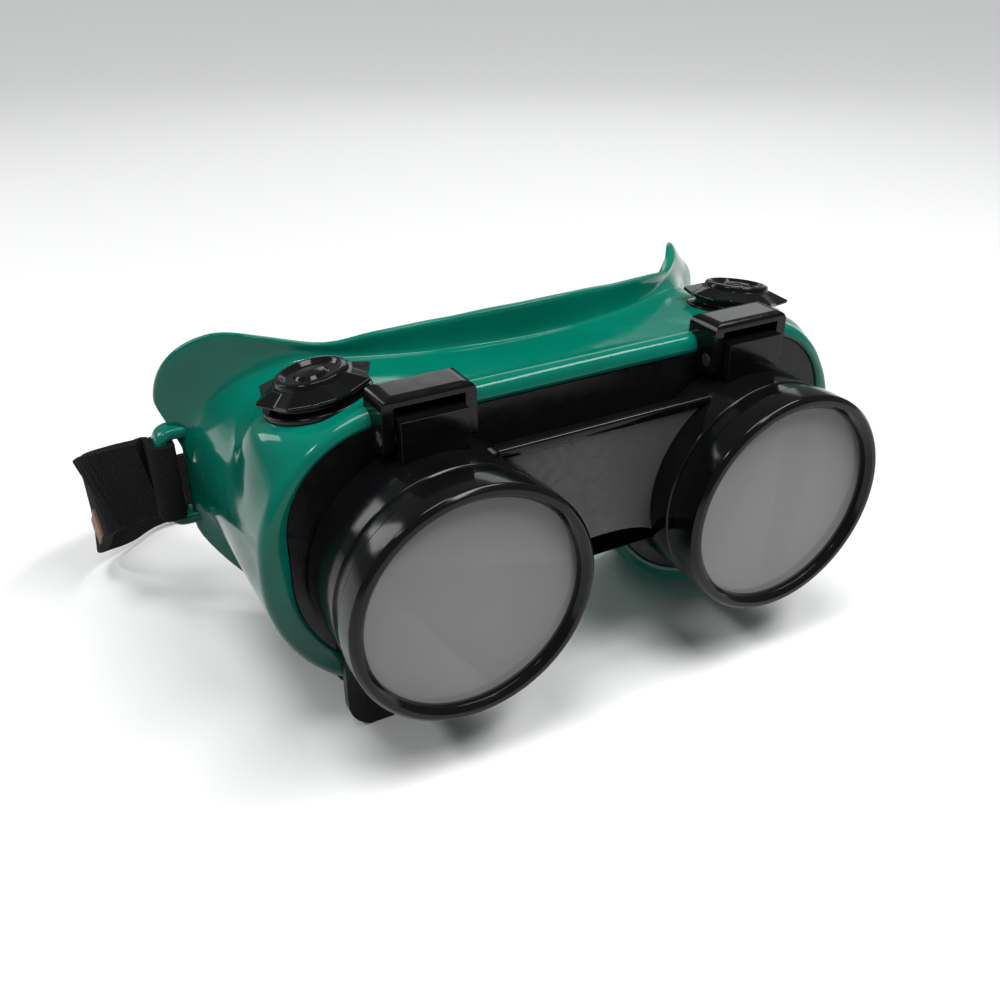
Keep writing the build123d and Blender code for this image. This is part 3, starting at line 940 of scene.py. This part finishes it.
def build_barrels(material, matte):
    section = [
        (25.1, 4.25, 0.1), (25.1, 7.4, 0.0), (25.6, 7.4, 0.2), (26.0, 7.8, 0.3),
        (26.0, 21.2, 0.5), (25.2, 22.0, 0.4), (22.6, 22.0, 0.4), (22.6, 4.25, 0.1),
    ]
    for side_name, side in SIDES.items():
        mesh = make_mesh(f"barrel_{side_name}", *turned(section, side * CUP_X))
        crease_shading(mesh, CREASE)
        add_piece(f"barrel_{side_name}", mesh, material, "flip_front", ["flip_carrier"])
        block = make_mesh(f"knuckle_{side_name}", *knuckle_shape(side), smooth=False)
        knuckle = add_piece(f"knuckle_{side_name}", block, material, "flip_front")
        cut(knuckle, *pin_drum(side * CUP_X, PIN_HOLE_R + 0.05))
        soften(knuckle, 0.5, 35)
    build_bridge(material, matte)


def pin_drum(x, radius, reach=12):
    """A closed cylinder along X at the pivot."""
    turn = Matrix.Translation((x, PIVOT_Y, PIVOT_Z)) @ Matrix.Rotation(math.radians(90), 4, "Y")
    return drum_shape(turn, radius, -reach, reach, 32)


def bridge_outline():
    """Plate between the barrels: straight top, round cut-outs at the barrels, arch below."""
    top, foot = BRIDGE_TOP, BRIDGE_FOOT
    gap = BARREL_R - 1.0
    right = []
    start = math.atan2(top, -math.sqrt(gap**2 - top**2))
    stop = math.atan2(foot, -math.sqrt(gap**2 - foot**2)) + 2 * math.pi
    for k in range(15):
        turn = start + (stop - start) * k / 14
        right.append((CUP_X + gap * math.cos(turn), gap * math.sin(turn)))
    half_foot = right[-1][0]
    arch = []
    for k in range(1, 16):
        turn = math.pi * k / 16
        arch.append((half_foot * math.cos(turn), foot + ARCH_RISE * math.sin(turn)))
    left = [(-x, z) for x, z in reversed(right)]
    return right + arch + left


def build_bridge(material, matte):
    shape = prism(bridge_outline(), BRIDGE_FRONT_Y, BRIDGE_BACK_Y, along_y)
    plate = make_mesh("bridge_plate", *shape, smooth=False)
    piece = add_piece("bridge_plate", plate, matte, "flip_front")
    soften(piece, 0.35, 40)
    rail = rounded([
        (12.6, 24.0, 1.3), (12.6, 22.3, 0.8), (13.3, 21.9, 0.1),
        (13.5, 21.3, 0.3), (BRIDGE_BACK_Y, 21.3, 0.2), (BRIDGE_BACK_Y, 24.0, 0.8),
    ], 5)
    mesh = make_mesh("bridge_rail", *prism(rail, -RAIL_HALF_L, RAIL_HALF_L, along_x))
    bar = add_piece("bridge_rail", mesh, material, "flip_front")
    crease_shading(bar.data, 40)


def build_bracket(side_name, side, material):
    """Hood over the hinge: two cheeks, a back plate and a rounded roof."""
    x = side * CUP_X
    low, high = x - HOOD_HALF_W, x + HOOD_HALF_W
    room = (x - HOOD_ROOM_HALF_W, x + HOOD_ROOM_HALF_W)
    profile = rounded([
        (HOOD_FRONT_Y, HOOD_TOP, 1.5), (HOOD_BACK_Y, HOOD_TOP, 1.6),
        (HOOD_BACK_Y, HOOD_FOOT, 0.4), (HOOD_FRONT_Y, HOOD_FOOT, 1.6),
    ], 6)
    name = f"hinge_hood_{side_name}"
    mesh = make_mesh(name, *prism(profile, low, high, along_x), smooth=False)
    piece = add_piece(name, mesh, material, "mask", [f"hinge_bracket_{side_name}"])
    front = rounded([
        (low, 20, 0), (low, HOOD_TOP, HOOD_CORNER_R), (high, HOOD_TOP, HOOD_CORNER_R), (high, 20, 0),
    ], 6)
    cut(piece, *prism(front, 10, 30, along_y), kind="INTERSECT")
    cut(piece, *box_shape(*room, 10, HOOD_ROOM_BACK_Y, 20, HOOD_BOTTOM))
    cut(piece, *pin_drum(x, PIN_HOLE_R, 14))
    soften(piece, 0.55, 35)


# ---------------------------------------------------------------- headband

def band_path():
    """Centre line seen from above, from the right lug to the left one."""
    half = [
        (81.05, 85.0, 0.0), (93.0, 93.0, 11.0), (94.0, 112.0, 11.0), (78.0, 124.5, 16.0),
        (50.0, BAND_RUN_Y, 60.0),
    ]
    corners = [(-x, y, r) for x, y, r in half] + [(x, y, r) for x, y, r in reversed(half)]
    return resample(rounded_open(corners), BAND_STEP)


def band_height(y):
    """Height of the band's middle: level at the lug, then down to lie on the floor behind."""
    share = min(max((y - 84.0) / 36.0, 0.0), 1.0)
    return LUG_Z + (BAND_RUN_Z - LUG_Z) * (0.35 * share + 0.65 * share * share * (3 - 2 * share))


def ribbon(path, width, thick, offset=0.0):
    """Points, faces and lengths of a flat strap on edge along a path of (x, y, z)."""
    section = rounded([(-thick / 2, -width / 2, 0.8), (thick / 2, -width / 2, 0.8),
                       (thick / 2, width / 2, 0.8), (-thick / 2, width / 2, 0.8)], 3)
    points, coords = [], []
    length = 0.0
    for i, here in enumerate(path):
        before, after = path[max(i - 1, 0)], path[min(i + 1, len(path) - 1)]
        along = (after - before).normalized()
        out = Vector((along.y, -along.x, 0)).normalized()
        up = out.cross(along) * -1
        if up.z < 0:
            up = -up
        if i:
            length += (here - path[i - 1]).length
        for a, b in section:
            points.append(tuple(here + out * (a + offset) + up * b))
            coords.append((length / 1000, b / 1000))
    count = len(section)
    faces = loop_faces(len(path), count, wrap_rows=False)
    faces += [tuple(range(count)), tuple(range(len(points) - count, len(points)))]
    return points, faces, coords


def ribbon_mesh(name, strips):
    """One mesh from several ribbons, with a UV map in metres along and across the strap."""
    points, faces, coords = [], [], []
    for more_points, more_faces, more_coords in strips:
        start = len(points)
        points += more_points
        coords += more_coords
        faces += [tuple(start + i for i in face) for face in more_faces]
    mesh = bpy.data.meshes.new(name)
    mesh.from_pydata([at(*p) for p in points], [], faces)
    layer = mesh.uv_layers.new(name="along")
    for corner in mesh.loops:
        layer.data[corner.index].uv = coords[corner.vertex_index]
    work = bmesh.new()
    work.from_mesh(mesh)
    bmesh.ops.recalc_face_normals(work, faces=work.faces)
    work.to_mesh(mesh)
    work.free()
    for face in mesh.polygons:
        face.use_smooth = True
    crease_shading(mesh, 60)
    return mesh


def loop_path(side):
    """The band's end: from the run, round the lug's outer bar and back beside the run."""
    gap = 0.15 + BAND_T / 2
    x0, x1, y0, y1 = 77.6 - gap, 80.0 + gap, 80.0 - gap, 86.0 + gap
    corners = [
        (84.5, 92.5, 0), (x1 - 0.4, y1 + 1.6, 2.2), (x0, y1, 1.6), (x0, y0, 1.5), (x1, y0, 1.5),
        (x1, 85.5, 2.0), (86.5, 89.5, 0),
    ]
    path = resample(rounded_open(corners, 6), 0.7)
    return [Vector((side * p.x, p.y, band_height(p.y))) for p in path]


def on_strap(path, along, across, lift):
    """A point on a strap's front face, by its distances along and across the strap."""
    k = min(int(along), len(path) - 2)
    here = path[k].lerp(path[k + 1], along - k)
    forward = (path[k + 1] - path[k]).normalized()
    out = Vector((-forward.y, forward.x, 0)).normalized()
    return here + out * lift + Vector((0, 0, across))


def stitch(a, b, out):
    """One raised stitch: a thin six-sided thread that dips into the strap at both ends."""
    line_points = []
    for k in range(5):
        t = k / 4
        line_points.append(a.lerp(b, t) + out * (0.28 * math.sin(math.pi * t) - 0.12))
    along = (b - a).normalized()
    across = along.cross(out).normalized()
    points = []
    for p in line_points:
        for i in range(6):
            turn = math.pi * i / 3
            points.append(tuple(p + (out * math.cos(turn) + across * math.sin(turn)) * STITCH_R))
    faces = loop_faces(5, 6, wrap_rows=False) + [tuple(range(6)), tuple(range(24, 30))]
    return points, faces


def seam(path, lift, corners):
    """Stitches along a closed line of (along, across) corners on a strap's front."""
    shapes = []
    for a, b in zip(corners, corners[1:]):
        start, end = on_strap(path, *a, lift), on_strap(path, *b, lift)
        count = max(1, round((end - start).length / STITCH_PITCH))
        for k in range(count):
            s0, s1 = (k + 0.1) / count, (k + 0.9) / count
            p = on_strap(path, a[0] + (b[0] - a[0]) * s0, a[1] + (b[1] - a[1]) * s0, lift)
            q = on_strap(path, a[0] + (b[0] - a[0]) * s1, a[1] + (b[1] - a[1]) * s1, lift)
            mid = on_strap(path, (a[0] + b[0]) / 2, 0, lift) - on_strap(path, (a[0] + b[0]) / 2, 0, 0)
            shapes.append(stitch(p, q, mid.normalized()))
    return shapes


def build_band(material, stitch_material, tab_material):
    run = [Vector((p.x, p.y, band_height(p.y))) for p in band_path()]
    strips = [ribbon(run, BAND_W, BAND_T)]
    stitches = []
    for side in SIDES.values():
        strips.append(ribbon(loop_path(side), BAND_W, BAND_T - 0.1))
        flap = run[:FLAP_POINTS] if side < 0 else run[-FLAP_POINTS:]
        strips.append(ribbon(flap, BAND_W, BAND_T - 0.3, offset=FLAP_OFFSET))
        if side > 0:
            flap = list(reversed(flap))
        lift = side * SEAM_LIFT
        first, last, high = SEAM_START, SEAM_END, SEAM_HALF_H
        box = [(first, high), (last, high), (last, -high), (first, -high), (first, high)]
        stitches += seam(flap, lift, box) + seam(flap, lift, [(first, high), (last, -high)])
    mesh = ribbon_mesh("headband_webbing", strips)
    add_piece("headband_webbing", mesh, material, "mask", ["headband"])
    threads = make_mesh("headband_stitches", *merge(stitches))
    add_piece("headband_stitches", threads, stitch_material, "mask")
    tab_path = [p - Vector((0, 0, TAB_DROP)) for p in run[TAB_FIRST:TAB_LAST + 1]]
    tab = ribbon_mesh("band_tab", [ribbon(tab_path, TAB_W, 0.7, offset=-1.2)])
    add_piece("band_tab", tab, tab_material, "mask")


def build_slider(material):
    """Adjuster: a frame whose rails run above and below the band, with a middle bar."""
    y, z = BAND_RUN_Y, BAND_RUN_Z
    half_h, bar_y, depth = 10.15, 1.2, 2.7
    tall = half_h + SLIDER_RIM
    plate = [(-SLIDER_HALF_W, z - tall), (SLIDER_HALF_W, z - tall),
             (SLIDER_HALF_W, z + tall), (-SLIDER_HALF_W, z + tall)]
    frame_shape = prism(plate, y - depth, y + depth, along_y)
    piece = add_piece("slider", make_mesh("slider", *frame_shape, smooth=False), material, "band_adjuster",
                      ["band_slider"])
    cut(piece, *box_shape(-20, 20, y - bar_y, y + bar_y, z - half_h, z + half_h))
    for x0, x1 in ((-13, -1.2), (1.2, 13)):
        cut(piece, *box_shape(x0, x1, y - 9, y, z - half_h, z + half_h))
    cut(piece, *box_shape(-9.6, 9.6, y, y + 9, z - half_h, z + half_h))
    soften(piece, 0.35, 35)


# ---------------------------------------------------------------- assembly

def paint(material, *names):
    """Give CAD nodes whose shape is kept a finished material."""
    for name in names:
        for place in nodes[name].material_slots:
            place.material = material


def both(name):
    return [f"{name}_{side}" for side in SIDES]


def build_all():
    green, black, matte = green_pvc(), black_plastic(), matte_plastic()
    build_mask(green)
    build_barrels(black, matte)
    for side_name, side in SIDES.items():
        build_cap(side_name, side, black)
        build_bracket(side_name, side, black)
        for level, upper in (("upper", True), ("lower", False)):
            build_vent(f"vent_cap_{level}_{side_name}", side, upper, black)
    build_band(webbing(), thread(), tan_leather())
    build_slider(black)
    paint(frame_plastic(), "front_frame")
    paint(matte, *both("vent_plug_upper"), *both("vent_plug_lower"), *both("clear_lens_ring"))
    paint(steel(), "hinge_pins", "bracket_rivets")
    paint(cover_glass(), *both("cover_lens"))
    paint(filter_glass(), *both("filter_lens"))
    paint(clear_glass(), *both("clear_lens"))
    paint(gasket_rubber(), *both("lens_gasket"), *both("slip_ring"))


def light_all():
    add_world(0.2)
    add_sun(1.45, 24, (0.12, 0.1, -1))
    middle = (0, -0.02, 0.06)
    add_softbox("key", (0.22, -0.26, 0.6), middle, 0.5, 0.13, 3.2)
    add_softbox("left", (-0.5, -0.1, 0.62), middle, 0.2, 0.07, 1.2)
    add_softbox("back_left", (-0.42, 0.52, 0.36), (-0.06, -0.02, 0.06), 0.16, 0.28, 0.7)
    add_softbox("back_right", (0.36, 0.56, 0.33), (0.03, 0, 0.07), 0.5, 0.16, 0.34)


bpy.context.scene.view_settings.view_transform = "Standard"
add_camera()
add_floor()
light_all()
build_all()
